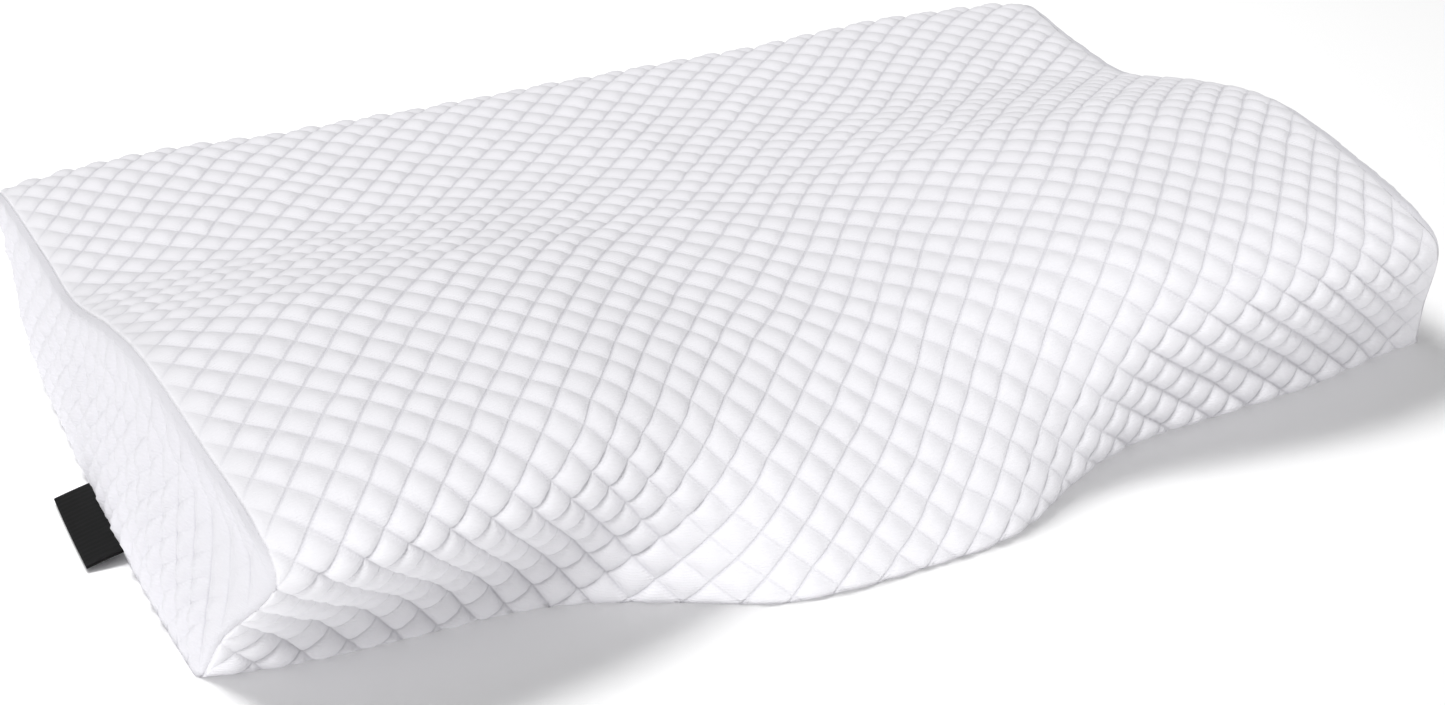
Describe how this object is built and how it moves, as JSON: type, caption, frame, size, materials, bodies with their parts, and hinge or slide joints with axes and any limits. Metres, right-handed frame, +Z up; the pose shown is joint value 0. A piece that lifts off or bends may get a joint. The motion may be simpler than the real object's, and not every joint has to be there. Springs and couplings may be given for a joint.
{
  "type": "cervical pillow",
  "caption": "Contoured neck pillow with two raised front wings, a lower back, a diamond-quilted knit cover with flat quilted ends, and a short blank tab in one end seam.",
  "frame": {"origin": "on the flat underside, within a centimetre of the middle of the pillow's length", "axes": "+X along the length, -Y towards the front with the two raised wings, +Z up"},
  "size_m": [0.6122, 0.403, 0.1085],
  "materials": {
    "wrap_quilt": "matt off-white knit, diamond quilted over a thin wadding",
    "end_quilt": "the same quilted knit, sewn in as the end gusset",
    "label_weave": "black woven satin tape, blank"
  },
  "bodies": {
    "root": {"body": "wrap_quilt", "end_panel_left": "end_quilt", "end_panel_right": "end_quilt", "label": "label_weave"}
  },
  "joints": []
}
